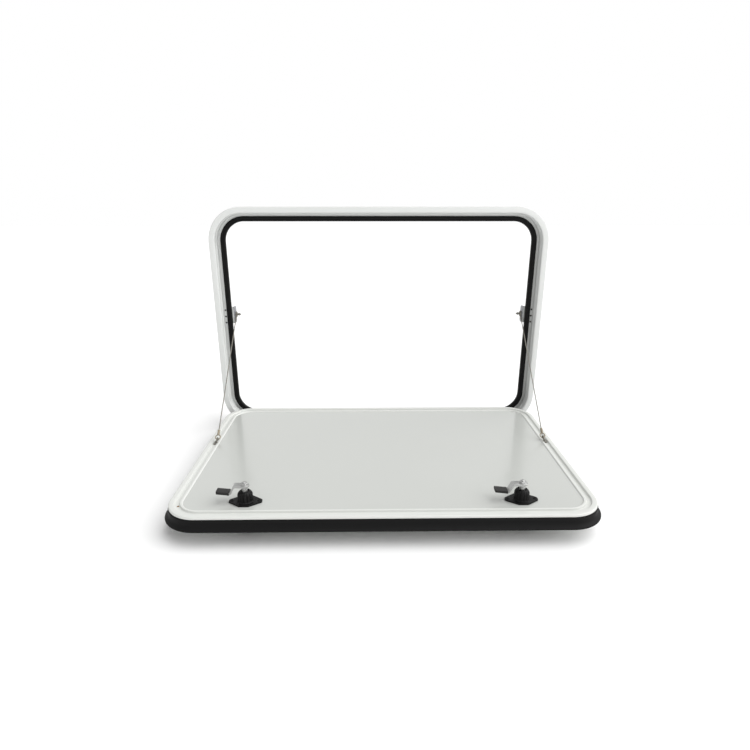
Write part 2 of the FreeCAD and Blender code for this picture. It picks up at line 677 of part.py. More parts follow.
def make_stay_hook(name, side):
    """A bent rod on a foot plate, its mouth turned away from the frame."""
    body = new_body(f"stay_hook_{name}")
    crook = S["hook_crook"]
    foot_top = S["hook_foot_thick"] - S["hook_level"]
    length = S["hook_foot_length"]
    half = S["hook_foot_width"] / 2
    near = crook + S["hook_foot_width"] / 2
    foot = [(half, near), (-half, near), (-half, near - length), (half, near - length)]
    pad_outline(body, "XY_Plane", foot, S["hook_foot_thick"], -S["hook_level"])
    path = new_sketch(body, "YZ_Plane")
    rise = Part.LineSegment(FreeCAD.Vector(crook.number, foot_top.number, 0),
                            FreeCAD.Vector(crook.number, 0, 0))
    bend = Part.Arc(FreeCAD.Vector(crook.number, 0, 0), FreeCAD.Vector(0, crook.number, 0),
                    FreeCAD.Vector(-crook.number, 0, 0))
    tail = Part.LineSegment(FreeCAD.Vector(-crook.number, 0, 0),
                            FreeCAD.Vector(-crook.number, -S["hook_tail"].number, 0))
    path.addGeometry([rise, bend, tail], False)
    path.addConstraint(Sketcher.Constraint("Coincident", 0, 2, 1, 1))
    path.addConstraint(Sketcher.Constraint("Coincident", 1, 2, 2, 1))
    path.addConstraint(Sketcher.Constraint("Coincident", 1, 3, -1, 1))
    path.addConstraint(Sketcher.Constraint("PointOnObject", 1, 1, -1))
    path.addConstraint(Sketcher.Constraint("PointOnObject", 1, 2, -1))
    path.addConstraint(Sketcher.Constraint("Vertical", 0))
    path.addConstraint(Sketcher.Constraint("Vertical", 2))
    bind(path, Sketcher.Constraint("Radius", 1, crook.number), crook)
    bind(path, Sketcher.Constraint("DistanceY", -1, 1, 0, 1, foot_top.number), foot_top)
    tail_end = -S["hook_tail"]
    bind(path, Sketcher.Constraint("DistanceY", -1, 1, 2, 2, tail_end.number), tail_end)
    section = new_sketch(body, "XY_Plane", foot_top)
    add_circle(section, ZERO, crook, S["hook_rod"])
    doc.recompute()
    rod = body.newObject("PartDesign::AdditivePipe", f"{body.Name}_rod")
    rod.Profile = section
    rod.Spine = path
    on_door(body, STAY_X * side, -S["hook_distance"], CROOK_N)
    return body


def on_latch(body, side):
    """Places a latch piece on its axis, with z up from the panel's inner face."""
    on_door(body, LATCH_X * side, LATCH_Y, PANEL_FACE)


def make_latch_housing(name, side):
    """The latch's moulded body: a diamond flange on the panel, a barrel and a bored core."""
    body = new_body(f"latch_housing_{name}")
    tip = S["latch_flange_long"] / 2
    tip_half = S["latch_flange_tip"] / 2
    flat = S["latch_flange_wide"] / 2
    flat_half = S["latch_flange_flat"] / 2
    diamond = [(tip, -tip_half), (tip, tip_half), (flat_half, flat), (-flat_half, flat),
               (-tip, tip_half), (-tip, -tip_half), (-flat_half, -flat), (flat_half, -flat)]
    pad_outline(body, "XY_Plane", diamond, S["latch_flange_thick"])
    pad_circle(body, "XY_Plane", ZERO, ZERO, S["latch_barrel"], S["barrel_height"])
    pad_circle(body, "XY_Plane", ZERO, ZERO, S["latch_body"], PANEL_THICK, -PANEL_THICK)
    add_barrel_grooves(body)
    bore = S["spindle_radius"] + S["spindle_clear"]
    pocket_circle(body, "XY_Plane", ZERO, ZERO, bore)
    on_latch(body, side)
    return body


def add_barrel_grooves(body):
    """Upright grooves evenly round the barrel, which leave ribs between them."""
    middle = (S["latch_flange_thick"] + S["barrel_height"]) / 2
    length = S["barrel_height"] - S["latch_flange_thick"] - S["groove_end"] * 2
    sketch = new_sketch(body, "XY_Plane", middle)
    add_circle(sketch, S["latch_barrel"] + S["groove_radius"] - S["groove_depth"], ZERO, S["groove_radius"])
    groove = add_feature(body, "Pocket", sketch, length, symmetric=True)
    doc.recompute()
    row = body.newObject("PartDesign::PolarPattern", f"{body.Name}_grooves")
    row.Originals = [groove]
    row.Axis = ([axis for axis in body.Origin.OriginFeatures if axis.Role == "Z_Axis"][0], [""])
    row.Angle = 360
    row.setExpression("Occurrences", S["groove_count"].text)
    body.Tip = row
    doc.recompute()


def make_latch_bezel(name, side):
    """The round plate behind the outside knob."""
    body = new_body(f"latch_bezel_{name}")
    pad_circle(body, "XY_Plane", ZERO, ZERO, S["bezel_radius"], S["bezel_thick"],
               -(PANEL_THICK + S["bezel_thick"]), hole=S["bezel_bore"])
    on_latch(body, side)
    return body


def make_latch_spindle(name, side):
    """The turning spindle: a plain shaft, a collar under the cam and a threaded stud."""
    body = new_body(f"latch_spindle_{name}")
    low = -(PANEL_THICK + S["bezel_thick"] + S["knob_gap"])
    collar = S["barrel_height"] + S["collar_gap"]
    outline = [(ZERO, low), (S["spindle_radius"], low), (S["spindle_radius"], collar),
               (S["collar_radius"], collar), (S["collar_radius"], S["cam_level"]),
               (S["stud_radius"], S["cam_level"]), (S["stud_radius"], S["stud_height"]),
               (ZERO, S["stud_height"])]
    revolve(body, "XZ_Plane", outline)
    on_latch(body, side)
    return body


def make_latch_cam(name, side):
    """The cam: a strip bent twice, from the stud down to the level of the frame's lip."""
    body = new_body(f"latch_cam_{name}")
    top = S["cam_level"] + S["cam_thick"]
    low = S["cam_level"] - S["cam_drop"]
    bend = S["cam_bend"]
    slope_end = S["cam_bend"] + S["cam_run"]
    shift = S["cam_shift"]
    outline = [(S["cam_tail"], S["cam_level"]), (S["cam_tail"], top), (-(bend + shift), top),
               (-(slope_end + shift), low + S["cam_thick"]), (-S["cam_reach"], low + S["cam_thick"]),
               (-S["cam_reach"], low), (-slope_end, low), (-bend, S["cam_level"])]
    pad_outline(body, "XZ_Plane", outline, S["cam_width"], symmetric=True)
    pocket_circle(body, "XY_Plane", ZERO, ZERO, S["stud_radius"] + S["small_clear"])
    on_latch(body, side)
    return body


def make_latch_sleeve(name, side):
    """The soft sleeve pushed over the cam's end."""
    body = new_body(f"latch_sleeve_{name}")
    clear = S["small_clear"]
    wall = S["sleeve_wall"]
    low = S["cam_level"] - S["cam_drop"]
    end = -(S["cam_reach"] + S["sleeve_end"])
    mouth = -(S["cam_bend"] + S["cam_run"] + S["cam_shift"] + S["sleeve_gap"])
    half = S["cam_width"] / 2 + clear + wall
    shell = [(end, half), (end, -half), (mouth, -half), (mouth, half)]
    pad_outline(body, "XY_Plane", shell, S["cam_thick"] + (clear + wall) * 2, low - clear - wall)
    inside = S["cam_width"] / 2 + clear
    floor = -S["cam_reach"] - clear
    cavity = [(floor, inside), (floor, -inside), (mouth + wall, -inside), (mouth + wall, inside)]
    sketch = new_sketch(body, "XY_Plane", low + S["cam_thick"] / 2)
    add_outline(sketch, cavity)
    add_feature(body, "Pocket", sketch, S["cam_thick"] + clear * 2, symmetric=True)
    on_latch(body, side)
    return body


def make_latch_nut(name, side):
    """The nut that holds the cam on its stud."""
    body = new_body(f"latch_nut_{name}")
    sketch = new_sketch(body, "XY_Plane", S["cam_level"] + S["cam_thick"])
    add_hexagon(sketch, S["nut_flats"])
    add_circle(sketch, ZERO, ZERO, S["stud_radius"] + S["small_clear"])
    add_feature(body, "Pad", sketch, S["nut_thick"])
    on_latch(body, side)
    return body


def make_latch_knob(name, side):
    """The outside knob: a round base with a grip across it."""
    body = new_body(f"latch_knob_{name}")
    top = -(PANEL_THICK + S["bezel_thick"] + S["knob_gap"])
    base = top - S["knob_base"]
    pad_circle(body, "XY_Plane", ZERO, ZERO, S["knob_radius"], S["knob_base"], base)
    long, wide = S["grip_length"] / 2, S["grip_width"] / 2
    round_end = S["grip_round"]
    grip = [(long, wide, round_end), (-long, wide, round_end), (-long, -wide, round_end),
            (long, -wide, round_end)]
    pad_outline(body, "XY_Plane", grip, S["grip_height"], base - S["grip_height"])
    on_latch(body, side)
    return body


def make_parts():
    parts = [make_outer_frame(), make_frame_seal(), make_hinge_frame_leaf(), make_hinge_pin(),
             make_door_ring(), make_door_edge_trim(), make_door_panel(), make_hinge_door_leaf()]
    handed = [make_stay_bracket, make_stay_screw, make_stay_nut, make_stay_lug, make_stay_cable,
              make_stay_ferrule, make_stay_hook, make_latch_housing, make_latch_bezel,
              make_latch_spindle, make_latch_cam, make_latch_sleeve, make_latch_nut, make_latch_knob]
    for name, side in (("left", -1), ("right", 1)):
        parts += [make(name, side) for make in handed]
    return parts


def check(parts):
    for item in doc.Objects:
        if "Invalid" in item.State or "Error" in item.State:
            raise RuntimeError(f"{item.Label} did not build: {item.State}")
    for part in parts:
        if part.Shape.isNull() or not part.Shape.isValid() or part.Shape.Volume <= 0:
            raise RuntimeError(f"{part.Label} has no valid shape")


parts = make_parts()
doc.recompute()
check(parts)
os.makedirs("parts", exist_ok=True)
for part in parts:
    part.Shape.exportStep(f"parts/{part.Label}.step")
    print(part.Label, len(part.Shape.Solids), round(part.Shape.Volume))
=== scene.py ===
import math

import bmesh
import bpy
from mathutils import Matrix, Vector


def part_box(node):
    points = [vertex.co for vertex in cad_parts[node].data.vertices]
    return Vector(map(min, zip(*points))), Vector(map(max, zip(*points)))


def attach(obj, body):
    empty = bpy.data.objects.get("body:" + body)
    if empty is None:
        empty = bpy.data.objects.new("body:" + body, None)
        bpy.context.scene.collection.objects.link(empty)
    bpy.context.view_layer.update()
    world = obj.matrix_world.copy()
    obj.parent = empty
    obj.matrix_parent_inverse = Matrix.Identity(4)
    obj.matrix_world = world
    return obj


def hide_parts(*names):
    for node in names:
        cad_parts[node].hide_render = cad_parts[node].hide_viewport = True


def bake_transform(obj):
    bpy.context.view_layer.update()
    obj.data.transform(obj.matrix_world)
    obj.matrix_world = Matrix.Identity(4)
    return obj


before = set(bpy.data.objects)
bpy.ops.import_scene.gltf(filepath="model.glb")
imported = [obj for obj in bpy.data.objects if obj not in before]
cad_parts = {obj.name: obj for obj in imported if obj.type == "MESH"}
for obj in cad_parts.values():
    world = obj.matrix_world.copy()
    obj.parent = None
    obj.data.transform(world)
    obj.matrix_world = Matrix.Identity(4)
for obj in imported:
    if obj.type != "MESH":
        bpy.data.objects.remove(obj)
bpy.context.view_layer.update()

# Sizes are in millimetres, as in the drawing of the hatch, and become metres in to_row
MM = 0.001
SIDES = {"left": -1, "right": 1}
ACROSS = Vector((1, 0, 0))

FRAME_LOW, FRAME_HIGH = (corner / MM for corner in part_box("outer_frame"))
RING_LOW, RING_HIGH = (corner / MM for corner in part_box("door_ring"))
FRONT = FRAME_LOW.y
RIM = RING_HIGH.z
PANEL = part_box("door_panel")[1].z / MM
OUTER_FACE = RING_LOW.z

# Fineness of the curves
CORNER_STEPS = 28
FILLET_STEPS = 5
ROUND_STEPS = 48
SMALL_STEPS = 24
STAIN_STEPS = 20
ROD_STEPS = 16
RIB_STEPS = 10
HEXAGON = 6
SHARP_ANGLE = math.radians(38)
# Turned outlines that close on their axis end at this radius
AXIS = 0.1

# Profiles of frame, seal, door ring and skirt, as (distance inwards from the outer edge, distance behind or
# below the front, rounding)
FRAME_CORNER = 75
RING_CORNER = 56
LIP_DEPTH = 27
LIP_EDGE, LIP_BACK = 29.5, 29
GROOVE_DEPTH = 3.5
FRAME_PROFILE = [
    (0, 3, 0), (0, 0, 2), (13, 0, 2), (13, 13, 0.6), (14, 14, 0.6), (14, LIP_DEPTH, 0.6),
    (LIP_EDGE, LIP_DEPTH, 0), (LIP_EDGE, LIP_BACK, 0), (14, LIP_BACK, 0.8), (14, 50, 0.7), (12, 50, 0.7),
    (12, 16, 0), (11, 15, 0), (11, 3, 0.8),
]
SEAL_PROFILE = [
    (20, LIP_DEPTH, 0), (20, 21, 2.8), (23.6, 21, 0.4), (24.3, 21.5, 0.4), (26.8, 21.5, 0.4), (27.5, 21, 0.4),
    (31.1, 21, 3), (31.1, 30.6, 0.7), (25.1, 30.6, 0.6), (25.1, LIP_BACK, 0), (LIP_EDGE, LIP_BACK, 0),
    (LIP_EDGE, LIP_DEPTH, 0),
]
RING_PROFILE = [
    (0, 0, 2.2), (9, 0, 1), (10.5, GROOVE_DEPTH, 0.8), (17, GROOVE_DEPTH, 0.8), (18.5, 0.3, 0.7),
    (21.8, 0.3, 0.9), (23.2, 2, 0), (23.2, 5.5, 0), (8, 5.5, 0), (8, 27, 0.5), (5.5, 27, 0.5),
    (5.5, 4.5, 0.5), (0, 4.5, 0.8),
]
TRIM_PROFILE = [
    (5.5, 4.5, 0), (0.8, 4.5, 0.8), (-1.2, 6.8, 2), (-1.2, 16.6, 7), (-7.5, 21.2, 0.9), (-7.5, 23.4, 0.9),
    (5.5, 23.4, 0.8),
]

# Rivets in the lip and screws of the hinge, with heads as (radius, height) and one rounded outline for all of
# them in shares of the two
RIVET_HEAD, FOOT_SCREW_HEAD, LEAF_SCREW_HEAD = (2, 0.9), (2.2, 0.7), (3, 0.9)
HEAD_OUTLINE = ((1, 0), (1, 0.4), (0.86, 0.75), (0.5, 1), (0.1, 1))
RIVET_INSET = 16.4
RIVET_LEVELS = (245.7, 260.2, 275)
HINGE_LEAF = 2
HINGE_PITCH = 72
HINGE_SCREWS = [HINGE_PITCH * step for step in range(-3, 4)]
FOOT_SCREW_RISE = 5
LEAF_SCREW_SHIFT, LEAF_SCREW_INSET = 18, 7

# Stained drain hole in the ring's groove
DRAIN_PLACE = (-337, -447.3)
DRAIN_OUTLINE = [(2.2, 0.02), (1.9, 0.14), (1.2, 0.1), (0.5, 0.06)]

# Stays: bracket, pointed stud, wire rope and hook
BRACKET_SHEET = 2
FACE_CORNER = 7
FOLD_ROUND = 0.5
SHEET_EASE = 0.3
STAY_STUD = [
    (AXIS, -5), (4.1, -5), (4.5, -4.6), (4.5, -2), (2.4, -2), (2.4, 3.1), (4.3, 3.1), (4.4, 3.5), (2.6, 4.6),
    (2, 5.2), (2.2, 5.8), (3.2, 6.8), (3.3, 7.6), (2.6, 9.6), (0.3, 12.9),
]
WIRE_STRANDS = 6
WIRE_LAY = 11
WIRE_PITCH = 1.5
STRAND_DEPTH = 0.12
HOOK_CROOK = 5
HOOK_BEND_STEPS = 12
HOOK_ROOM, HOOK_RADIUS = 1.5, 1.4
HOOK_FOOT_HALF = 2.5
HOOK_FOOT_THICK = 1.5
HOOK_FOOT_CORNER = 2
HOOK_LEAN = 5
# The hook's shank, as (shift outwards, rise) from its foot and then from its crook, and the drops of its tail
SHANK_FOOT = ((0, 1), (0, 2.4), (-0.8, 3.4))
SHANK_TOP = ((0.8, -1), (0.1, -0.2))
HOOK_TAIL = (1.5, 3)

# Latch, from its axis on the panel's inner face
FLANGE_OUTLINE = [
    (27.5, -3.5, 3.3), (27.5, 3.5, 3.3), (8, 17, 4), (-8, 17, 4),
    (-27.5, 3.5, 3.3), (-27.5, -3.5, 3.3), (-8, -17, 4), (8, -17, 4),
]
FLANGE_THICK = 3
FLANGE_EDGE = 0.6
LATCH_SCREW_SPREAD = 22.5
LATCH_SCREW = [(2.9, -0.3), (2.9, 0.4), (2.5, 0.8), (1.3, 0.9), (1.1, 0.1), (0.2, 0.1)]
BARREL_RADIUS = 12.5
BARREL_HEIGHT = 21
BARREL_RIBS = 14
RIB_DEPTH = 1
# The barrel is grooved where a wave with one crest on each rib falls below this
GROOVE_WAVE = -0.35
# The barrel from its root to its hollow top, as (share of the groove's depth, height, growth of its radius)
BARREL_PROFILE = [
    (0, 1, 1.2), (0.5, FLANGE_THICK, 1.2), (0.5, FLANGE_THICK + 1, 0.3), (1, FLANGE_THICK + 2, 0),
    (1, BARREL_HEIGHT - 6, 0), (0.9, BARREL_HEIGHT - 4.4, -0.6), (0.7, BARREL_HEIGHT - 2.7, -1.6),
    (0.4, BARREL_HEIGHT - 1.2, -2.8), (0, BARREL_HEIGHT - 0.3, -3.8), (0, BARREL_HEIGHT, -4.6),
    (0, BARREL_HEIGHT, -5.6), (0, BARREL_HEIGHT - 1.5, -6),
]
CAM_LEVEL = 29
NUT_LOW, NUT_HIGH = 32, 35.6
NUT_FLATS = 10
# The nut's outline, as (share of its corner radius, height)
NUT_OUTLINE = [(0.9, NUT_LOW), (1, NUT_LOW + 0.6), (1, NUT_HIGH - 0.6), (0.9, NUT_HIGH), (0.6, NUT_HIGH)]
STUD_RADIUS = 3
STUD_TOP = 37.2
STUD_TIP, STUD_TIP_RISE = 0.8, 0.2
THREAD_PITCH, THREAD_DEPTH = 0.8, 0.4
THREAD_START = NUT_HIGH - 1
COLLAR_RADIUS = 5
COLLAR_OUTLINE = [
    (COLLAR_RADIUS, 24.6), (4.5, 25), (4.5, 25.6), (COLLAR_RADIUS, 26), (COLLAR_RADIUS, CAM_LEVEL - 0.4),
    (4.6, CAM_LEVEL), (STUD_RADIUS, CAM_LEVEL),
]
WASHER_RADIUS = 6.2
WASHER_OUTLINE = [
    (STUD_RADIUS, NUT_LOW), (WASHER_RADIUS - 0.3, NUT_LOW), (WASHER_RADIUS, NUT_LOW + 0.3),
    (WASHER_RADIUS, NUT_LOW + 0.8), (WASHER_RADIUS - 0.5, NUT_LOW + 1.1), (STUD_RADIUS, NUT_LOW + 1.1),
]
# The cam from its round eye down a bend to its foot, and on to a tip that rises by a share of its reach
CAM_EYE = 1.5
CAM_WIDTH = 13
CAM_EDGE = 0.4
CAM_FOOT, CAM_TIP, CAM_TILT = -23.8, -44, 0.11
CAM_OUTLINE = [
    (CAM_EYE, CAM_LEVEL, 0.5), (CAM_EYE, NUT_LOW, 0.5), (-17.3, NUT_LOW, 2.5), (CAM_FOOT, 19.5, 1),
    (CAM_TIP, 21.7, 0.5), (CAM_TIP, 18.7, 0.5), (-22, 16.5, 2.5), (-15.5, CAM_LEVEL, 1),
]
SLEEVE_START, SLEEVE_END = -24.8, -46
SLEEVE_HALF_WIDTH = 7.6
SLEEVE_LOW, SLEEVE_HIGH = 15.4, 20.6
SLEEVE_EDGE = 0.45
# The sleeve from its thicker mouth to its rounded end, as (place along the cam, share of its section)
SLEEVE_STATIONS = [
    (SLEEVE_START, 0.92), (SLEEVE_START - 0.3, 1), (SLEEVE_START - 3, 1), (SLEEVE_START - 3.4, 0.97),
    (SLEEVE_END + 1.4, 0.97), (SLEEVE_END + 0.4, 0.94), (SLEEVE_END, 0.84),
]
# The knob's round base, as (radius, drop from its top), and the grip across it
KNOB_BASE = [(3, 0), (16.4, 0), (17, 0.6), (17, 3), (16.2, 4), (3, 4)]
GRIP_HALF_LENGTH, GRIP_HALF_WIDTH = 15, 4.5
GRIP_ROOT = 3.5
GRIP_ROUND = 0.9
# The grip's end, as (height above it, share of its width)
GRIP_END = ((1.2, 0.94), (0.3, 0.88), (0, 0.78))

# Finishes: colours as written for a screen, size of the grain per metre and strength of its relief
FINISHES = {
    "white_aluminium": dict(colour=(219, 220, 218), worn=(215, 217, 215), rough=0.34, grain=900, bump=0.12),
    # The door's ring is the same white aluminium in a darker copy: painted shade for the shade its sides fall
    # in
    "ring_aluminium_shaded": dict(colour=(214, 215, 211), worn=(210, 212, 208), rough=0.34, grain=900, bump=0.12),
    "white_panel": dict(colour=(193, 195, 191), worn=(190, 192, 188), rough=0.2, grain=60, bump=0.02,
                        coat=0.3),
    "black_rubber": dict(colour=(11, 11, 11), worn=(15, 15, 15), rough=0.6, grain=700, bump=0.25,
                         specular=0.12),
    # The latch sleeve's rubber is a lighter copy of the black rubber: painted light for its lit top; its
    # higher specular is real gloss
    "sleeve_rubber_lit": dict(colour=(27, 26, 25), worn=(32, 31, 30), rough=0.5, grain=700, bump=0.25,
                          specular=0.3),
    "black_plastic": dict(colour=(7, 7, 7), worn=(10, 10, 10), rough=0.45, grain=1100, bump=0.2,
                          specular=0.16),
    "hinge_steel": dict(colour=(205, 206, 205), worn=(186, 187, 186), rough=0.36, grain=500, bump=0.15,
                        metallic=0.7),
    "bracket_steel": dict(colour=(150, 151, 155), worn=(132, 133, 137), rough=0.42, grain=400, bump=0.2,
                          metallic=0.3),
    "zinc_steel": dict(colour=(180, 181, 180), worn=(152, 152, 150), rough=0.3, grain=400, bump=0.15,
                       metallic=0.85),
    "wire_steel": dict(colour=(132, 129, 121), worn=(104, 101, 94), rough=0.5, grain=900, bump=0.2,
                       metallic=0.5),
    "ferrule_metal": dict(colour=(146, 137, 119), worn=(116, 107, 92), rough=0.42, grain=700, bump=0.25,
                          metallic=0.6),
    # The rivet heads are real; their dark colour is painted shade for the shadowed dots at them
    "rivet_painted_shade": dict(colour=(40, 40, 40), worn=(30, 30, 30), rough=0.5, grain=500, bump=0.2, metallic=0.2),
    "drain_stain": dict(colour=(140, 104, 62), worn=(98, 72, 44), rough=0.7, grain=900, bump=0.4),
}
FLOOR_FINISH = dict(colour=(255, 255, 255), worn=(254, 254, 254), rough=0.9, grain=20, bump=0.01)
# Finish of the solids that keep their drawn shape
DRAWN_NODES = {
    "door_panel": "white_panel", "hinge_frame_leaf": "hinge_steel", "hinge_door_leaf": "hinge_steel",
    "hinge_pin": "zinc_steel",
}
DRAWN_PAIRS = {"stay_lug": "wire_steel", "stay_ferrule": "ferrule_metal", "latch_bezel": "black_plastic"}
CLOUD_SIZE = 12
CLOUD_DETAIL, GRAIN_DETAIL = 3, 2
GLOSS_SPREAD = 0.15
RELIEF_METRES = 0.0002
COAT_ROUGHNESS = 0.06

# Light, as (name, direction towards it, strength, softness in degrees), and camera
LIGHTS = (
    ("key", Vector((0.62, -0.05, 0.775)), 2.95, 80),
    ("fill", Vector((0.35, -1, -0.05)), 1.12, 30),
)
WHITE = (1, 1, 1, 1)
AMBIENT = 0.45
CAMERA_PLACE = (-23.08, -1207.14, 509.98)
CAMERA_TURN = (71.1, 0, -0.79)
CAMERA_LENS = 25.413
CAMERA_SHIFT = (-0.0019, 0.0135)
FLOOR_GAP = 1
FLOOR_HALF = 12000


# Materials


def linear(colour):
    """A colour as written for a screen, 0 to 255, as linear light."""
    shares = [value / 255 for value in colour]
    return [share / 12.92 if share <= 0.04045 else ((share + 0.055) / 1.055) ** 2.4 for share in shares] + [1]


def surface(name, colour, worn, rough, grain, bump, metallic=0, coat=0, specular=0.5):
    """A procedural finish: two close colours and a changing gloss over one grain, with a fine relief."""
    material = bpy.data.materials.new(name)
    material.use_nodes = True
    nodes, links = material.node_tree.nodes, material.node_tree.links
    shader = nodes["Principled BSDF"]
    place = nodes.new("ShaderNodeTexCoord")

    cloud = nodes.new("ShaderNodeTexNoise")
    cloud.inputs["Scale"].default_value = grain / CLOUD_SIZE
    cloud.inputs["Detail"].default_value = CLOUD_DETAIL
    fine = nodes.new("ShaderNodeTexNoise")
    fine.inputs["Scale"].default_value = grain
    fine.inputs["Detail"].default_value = GRAIN_DETAIL
    for noise in (cloud, fine):
        links.new(place.outputs["Object"], noise.inputs["Vector"])

    tint = nodes.new("ShaderNodeMix")
    tint.data_type = "RGBA"
    for socket in tint.inputs:
        if socket.type == "RGBA" and socket.name == "A":
            socket.default_value = linear(colour)
        if socket.type == "RGBA" and socket.name == "B":
            socket.default_value = linear(worn)
    links.new(cloud.outputs["Fac"], tint.inputs["Factor"])
    mixed = [socket for socket in tint.outputs if socket.type == "RGBA"][0]
    links.new(mixed, shader.inputs["Base Color"])

    gloss = nodes.new("ShaderNodeMapRange")
    gloss.inputs["To Min"].default_value = rough * (1 - GLOSS_SPREAD)
    gloss.inputs["To Max"].default_value = rough * (1 + GLOSS_SPREAD)
    links.new(cloud.outputs["Fac"], gloss.inputs["Value"])
    links.new(gloss.outputs["Result"], shader.inputs["Roughness"])

    relief = nodes.new("ShaderNodeBump")
    relief.inputs["Strength"].default_value = bump
    relief.inputs["Distance"].default_value = RELIEF_METRES
    links.new(fine.outputs["Fac"], relief.inputs["Height"])
    links.new(relief.outputs["Normal"], shader.inputs["Normal"])
    shader.inputs["Metallic"].default_value = metallic
    shader.inputs["Specular IOR Level"].default_value = specular
    shader.inputs["Coat Weight"].default_value = coat
    shader.inputs["Coat Roughness"].default_value = COAT_ROUGHNESS
    return material


FINISH = {name: surface(name, **settings) for name, settings in FINISHES.items()}


# Shapes


def to_row(x, y, z):
    return Vector((x, y, z)) * MM


def box_of(node):
    """The low and high corner of a solid, in millimetres."""
    return [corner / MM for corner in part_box(node)]


def circle(steps):
    """Cosine and sine at even steps round a circle."""
    angles = [math.tau * step / steps for step in range(steps)]
    return [(math.cos(angle), math.sin(angle)) for angle in angles]


def rounded(corners):
    """An outline with each corner (x, y, radius) turned into an arc."""
    points = []
    count = len(corners)
    for index, (x, y, radius) in enumerate(corners):
        corner = Vector((x, y))
        if radius == 0:
            points.append(corner)
            continue
        before = (Vector(corners[index - 1][:2]) - corner).normalized()
        after = (Vector(corners[(index + 1) % count][:2]) - corner).normalized()
        half = before.angle(after) / 2
        centre = corner + (before + after).normalized() * (radius / math.sin(half))
        first = corner + before * (radius / math.tan(half)) - centre
        last = corner + after * (radius / math.tan(half)) - centre
        sweep = first.angle_signed(last)
        for step in range(FILLET_STEPS + 1):
            turn = -sweep * step / FILLET_STEPS
            points.append(centre + Matrix.Rotation(turn, 2) @ first)
    return points


def rounded_oblong(left, right, low, high, corner):
    """The outline of an oblong with four like corners."""
    return rounded([(right, high, corner), (left, high, corner), (left, low, corner), (right, low, corner)])


def outline_stations(half_width, low, high, corner):
    """Corner centre and outward direction at each station round a rounded rectangle."""
    stations = []
    for index, (x, w) in enumerate(((1, high), (-1, high), (-1, low), (1, low))):
        centre = Vector((x * (half_width - corner), w - corner if w == high else w + corner))
        for step in range(CORNER_STEPS + 1):
            angle = math.radians(90) * (index + step / CORNER_STEPS)
            stations.append((centre, Vector((math.cos(angle), math.sin(angle)))))
    return stations


def skin(mesh, sections, closed):
    """Faces between successive sections of the same number of points."""
    rows = [[mesh.verts.new(point) for point in section] for section in sections]
    count = len(rows)
    for index in range(count if closed else count - 1):
        near, far = rows[index], rows[(index + 1) % count]
        for step in range(len(near)):
            ahead = (step + 1) % len(near)
            mesh.faces.new((near[step], near[ahead], far[ahead], far[step]))
    if not closed:
        mesh.faces.new(rows[0][::-1])
        mesh.faces.new(rows[-1])


def bend_profile(mesh, profile, outline, to_place):
    """A profile bent round a rounded rectangle."""
    points = rounded(profile)
    corner = outline[3]
    sections = [
        [to_place(*(centre + away * (corner - inset)), depth) for inset, depth in points]
        for centre, away in outline_stations(*outline)
    ]
    skin(mesh, sections, closed=True)


def lathe(mesh, outline, place, steps=ROUND_STEPS):
    """Turns an outline of (radius, height) points round the upright axis of a place."""
    sections = [
        [place @ to_row(radius * cosine, radius * sine, height) for cosine, sine in circle(steps)]
        for radius, height in outline
    ]
    skin(mesh, sections, closed=False)


def extrude(mesh, outline, low, high, edge, to_place):
    """A flat outline given a thickness, with both its edges bevelled."""
    middle = sum(outline, Vector((0, 0))) / len(outline)
    reach = max((point - middle).length for point in outline)
    inner = [middle + (point - middle) * (1 - edge / reach) for point in outline]
    levels = ((inner, low), (outline, low + edge), (outline, high - edge), (inner, high))
    sections = [[to_place(point.x, point.y, level) for point in points] for points, level in levels]
    skin(mesh, sections, closed=False)


def tube(mesh, path, radius):
    """A round rod along a path that nowhere runs straight across the hatch."""
    sections = []
    for index, point in enumerate(path):
        along = (path[min(index + 1, len(path) - 1)] - path[max(index - 1, 0)]).normalized()
        across = (ACROSS - along * ACROSS.dot(along)).normalized()
        third = along.cross(across)
        sections.append([
            (point + (across * cosine + third * sine) * radius) * MM for cosine, sine in circle(ROD_STEPS)
        ])
    skin(mesh, sections, closed=False)


def piece(name, mesh, body, finish, replaced=()):
    """Makes an object of a mesh, gives it a finish and lets it ride on a body."""
    bmesh.ops.recalc_face_normals(mesh, faces=mesh.faces)
    data = bpy.data.meshes.new(name)
    mesh.to_mesh(data)
    mesh.free()
    data.materials.append(FINISH[finish])
    data.polygons.foreach_set("use_smooth", [True] * len(data.polygons))
    data.set_sharp_from_angle(angle=SHARP_ANGLE)
    item = bpy.data.objects.new(name, data)
    bpy.context.scene.collection.objects.link(item)
    if replaced:
        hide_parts(*replaced)
    if body:
        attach(item, body)
    return item


# Frame and door


def on_frame(u, w, depth):
    return to_row(u, FRONT + depth, w)


def on_door(u, w, drop):
    return to_row(u, w, RIM - drop)


def make_rings():
    """The frame, its seal, the door's ring and its skirt, each one bent profile."""
    around_frame = (FRAME_HIGH.x, FRAME_LOW.z, FRAME_HIGH.z, FRAME_CORNER)
    around_door = (RING_HIGH.x, RING_LOW.y, RING_HIGH.y, RING_CORNER)
    rings = [
        ("outer_frame", FRAME_PROFILE, around_frame, on_frame, "frame", "white_aluminium"),
        ("frame_seal", SEAL_PROFILE, around_frame, on_frame, "frame", "black_rubber"),
        # The ring takes the darker copy of the white aluminium, which is painted shade
        ("door_ring", RING_PROFILE, around_door, on_door, "door", "ring_aluminium_shaded"),
        ("door_edge_trim", TRIM_PROFILE, around_door, on_door, "door", "black_rubber"),
    ]
    for node, profile, outline, to_place, body, finish in rings:
        mesh = bmesh.new()
        bend_profile(mesh, profile, outline, to_place)
        piece(f"{node}_skin", mesh, body, finish, [node])


def row_of_heads(name, spots, facing, head, body, finish):
    """A row of low screw or rivet heads with rounded edges."""
    radius, height = head
    outline = [(radius * wide, height * tall) for wide, tall in HEAD_OUTLINE]
    mesh = bmesh.new()
    for spot in spots:
        lathe(mesh, outline, Matrix.Translation(to_row(*spot)) @ facing, SMALL_STEPS)
    piece(name, mesh, body, finish)


